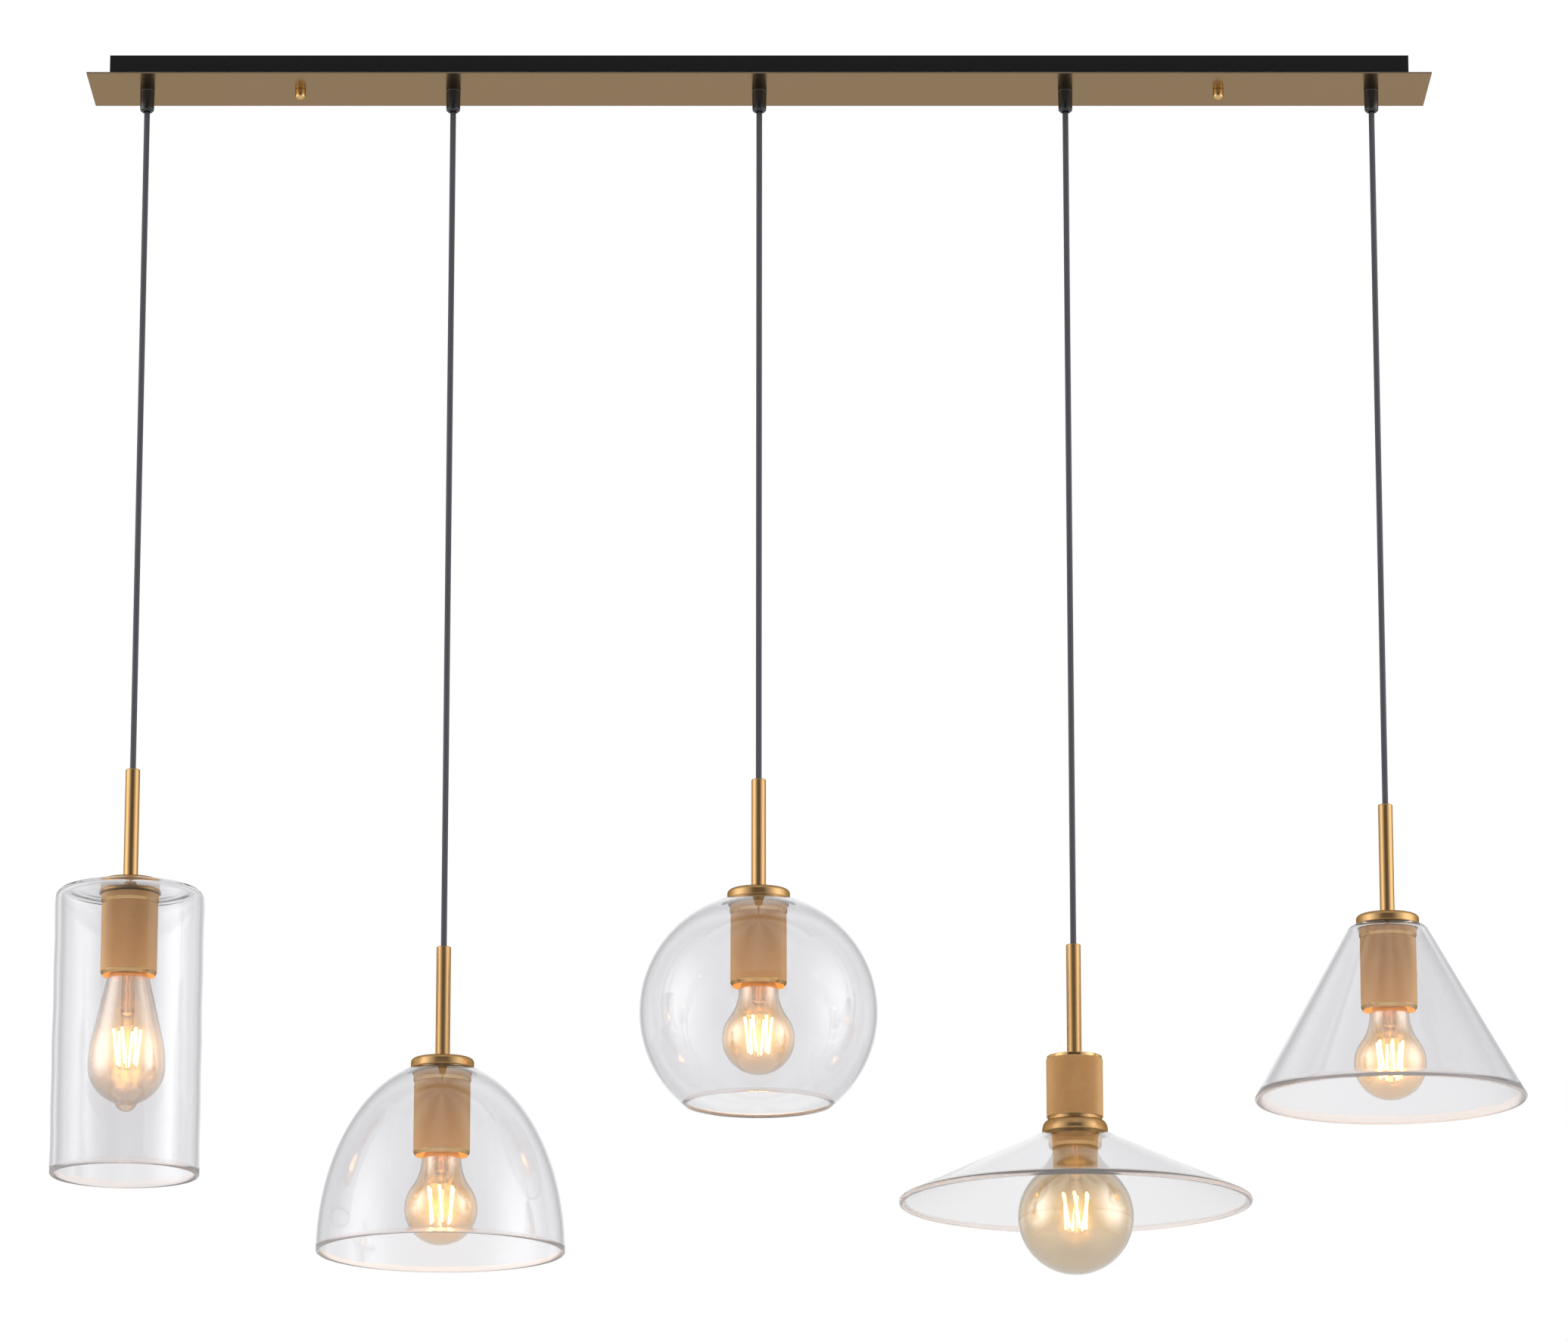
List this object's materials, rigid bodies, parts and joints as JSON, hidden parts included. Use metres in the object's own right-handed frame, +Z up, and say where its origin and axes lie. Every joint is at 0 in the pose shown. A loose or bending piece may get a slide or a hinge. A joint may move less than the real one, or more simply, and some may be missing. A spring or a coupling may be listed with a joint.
{
  "type": "pendant light",
  "caption": "Linear ceiling pendant light: a long canopy with cords that carry clear glass shades of different forms on knurled brass fittings with filament lamps.",
  "frame": {"origin": "centre of the bracket's two ceiling slots, in the ceiling plane", "axes": "+X along the canopy, from the tube shade to the cone shade; +Z up into the ceiling; -Y is the side seen in the picture"},
  "size_m": [1.2141, 0.2896, 1.039],
  "materials": {
    "bracket_steel": "zinc plated",
    "fastener_steel": "zinc plated",
    "black_paint": "matt black paint",
    "plate_brass": "satin brushed",
    "turned_brass": "satin turned",
    "knurled_brass": "fine diamond knurl, bright edges",
    "black_plastic": "moulded",
    "white_plastic": "moulded",
    "cord_cover": "soft matt cover",
    "shade_glass": "clear",
    "lamp_glass": "amber coated",
    "lamp_cap_metal": "nickel plated",
    "filament_glass": "glass mount with lit sticks"
  },
  "bodies": {
    "canopy": {"ceiling_bracket": "bracket_steel", "bracket_studs": "fastener_steel", "stud_nuts": "fastener_steel", "canopy_box": "black_paint", "canopy_plate": "plate_brass", "cap_nuts": "turned_brass", "cord_grips": "black_plastic", "grip_nuts": "black_plastic", "terminal_block": "white_plastic", "inner_leads": "cord_cover"},
    "hanging_cord_1": {"cord_1": "cord_cover"},
    "pendant_1": {"stem_1": "turned_brass", "shade_cap_1": "turned_brass", "shade_1": "shade_glass", "ring_nut_1": "turned_brass", "sleeve_1": "knurled_brass", "lampholder_1": "white_plastic"},
    "lamp_1": {"lamp_glass_1": "lamp_glass", "lamp_cap_1": "lamp_cap_metal", "filament_1": "filament_glass"},
    "hanging_cord_2": {"cord_2": "cord_cover"},
    "pendant_2": {"stem_2": "turned_brass", "shade_cap_2": "turned_brass", "shade_2": "shade_glass", "ring_nut_2": "turned_brass", "sleeve_2": "knurled_brass", "lampholder_2": "white_plastic"},
    "lamp_2": {"lamp_glass_2": "lamp_glass", "lamp_cap_2": "lamp_cap_metal", "filament_2": "filament_glass"},
    "hanging_cord_3": {"cord_3": "cord_cover"},
    "pendant_3": {"stem_3": "turned_brass", "shade_cap_3": "turned_brass", "shade_3": "shade_glass", "ring_nut_3": "turned_brass", "sleeve_3": "knurled_brass", "lampholder_3": "white_plastic"},
    "lamp_3": {"lamp_glass_3": "lamp_glass", "lamp_cap_3": "lamp_cap_metal", "filament_3": "filament_glass"},
    "hanging_cord_4": {"cord_4": "cord_cover"},
    "pendant_4": {"stem_4": "turned_brass", "shade_cap_4": "turned_brass", "shade_4": "shade_glass", "ring_nut_4": "turned_brass", "sleeve_4": "knurled_brass", "lampholder_4": "white_plastic"},
    "lamp_4": {"lamp_glass_4": "lamp_glass", "lamp_cap_4": "lamp_cap_metal", "filament_4": "filament_glass"},
    "hanging_cord_5": {"cord_5": "cord_cover"},
    "pendant_5": {"stem_5": "turned_brass", "shade_cap_5": "turned_brass", "shade_5": "shade_glass", "ring_nut_5": "turned_brass", "sleeve_5": "knurled_brass", "lampholder_5": "white_plastic"},
    "lamp_5": {"lamp_glass_5": "lamp_glass", "lamp_cap_5": "lamp_cap_metal", "filament_5": "filament_glass"}
  },
  "joints": [
    {"name": "swing_1", "type": "hinge", "parent": "canopy", "child": "hanging_cord_1", "pos_m": [-0.52, 0, -0.0405], "axis": [1, 0, 0], "range_deg": [-25, 25]},
    {"name": "height_1", "type": "slide", "parent": "hanging_cord_1", "child": "pendant_1", "axis": [0, 0, 1], "range_m": [0, 0.3], "deforming": ["cord_1"]},
    {"name": "lamp_out_1", "type": "slide", "parent": "pendant_1", "child": "lamp_1", "axis": [0, 0, -1], "range_m": [0, 0.045]},
    {"name": "swing_2", "type": "hinge", "parent": "canopy", "child": "hanging_cord_2", "pos_m": [-0.26, 0, -0.0405], "axis": [1, 0, 0], "range_deg": [-25, 25]},
    {"name": "height_2", "type": "slide", "parent": "hanging_cord_2", "child": "pendant_2", "axis": [0, 0, 1], "range_m": [0, 0.3], "deforming": ["cord_2"]},
    {"name": "lamp_out_2", "type": "slide", "parent": "pendant_2", "child": "lamp_2", "axis": [0, 0, -1], "range_m": [0, 0.045]},
    {"name": "swing_3", "type": "hinge", "parent": "canopy", "child": "hanging_cord_3", "pos_m": [0, 0, -0.0405], "axis": [1, 0, 0], "range_deg": [-25, 25]},
    {"name": "height_3", "type": "slide", "parent": "hanging_cord_3", "child": "pendant_3", "axis": [0, 0, 1], "range_m": [0, 0.3], "deforming": ["cord_3"]},
    {"name": "lamp_out_3", "type": "slide", "parent": "pendant_3", "child": "lamp_3", "axis": [0, 0, -1], "range_m": [0, 0.045]},
    {"name": "swing_4", "type": "hinge", "parent": "canopy", "child": "hanging_cord_4", "pos_m": [0.26, 0, -0.0405], "axis": [1, 0, 0], "range_deg": [-25, 25]},
    {"name": "height_4", "type": "slide", "parent": "hanging_cord_4", "child": "pendant_4", "axis": [0, 0, 1], "range_m": [0, 0.3], "deforming": ["cord_4"]},
    {"name": "lamp_out_4", "type": "slide", "parent": "pendant_4", "child": "lamp_4", "axis": [0, 0, -1], "range_m": [0, 0.045]},
    {"name": "swing_5", "type": "hinge", "parent": "canopy", "child": "hanging_cord_5", "pos_m": [0.52, 0, -0.0405], "axis": [1, 0, 0], "range_deg": [-25, 25]},
    {"name": "height_5", "type": "slide", "parent": "hanging_cord_5", "child": "pendant_5", "axis": [0, 0, 1], "range_m": [0, 0.3], "deforming": ["cord_5"]},
    {"name": "lamp_out_5", "type": "slide", "parent": "pendant_5", "child": "lamp_5", "axis": [0, 0, -1], "range_m": [0, 0.045]}
  ]
}
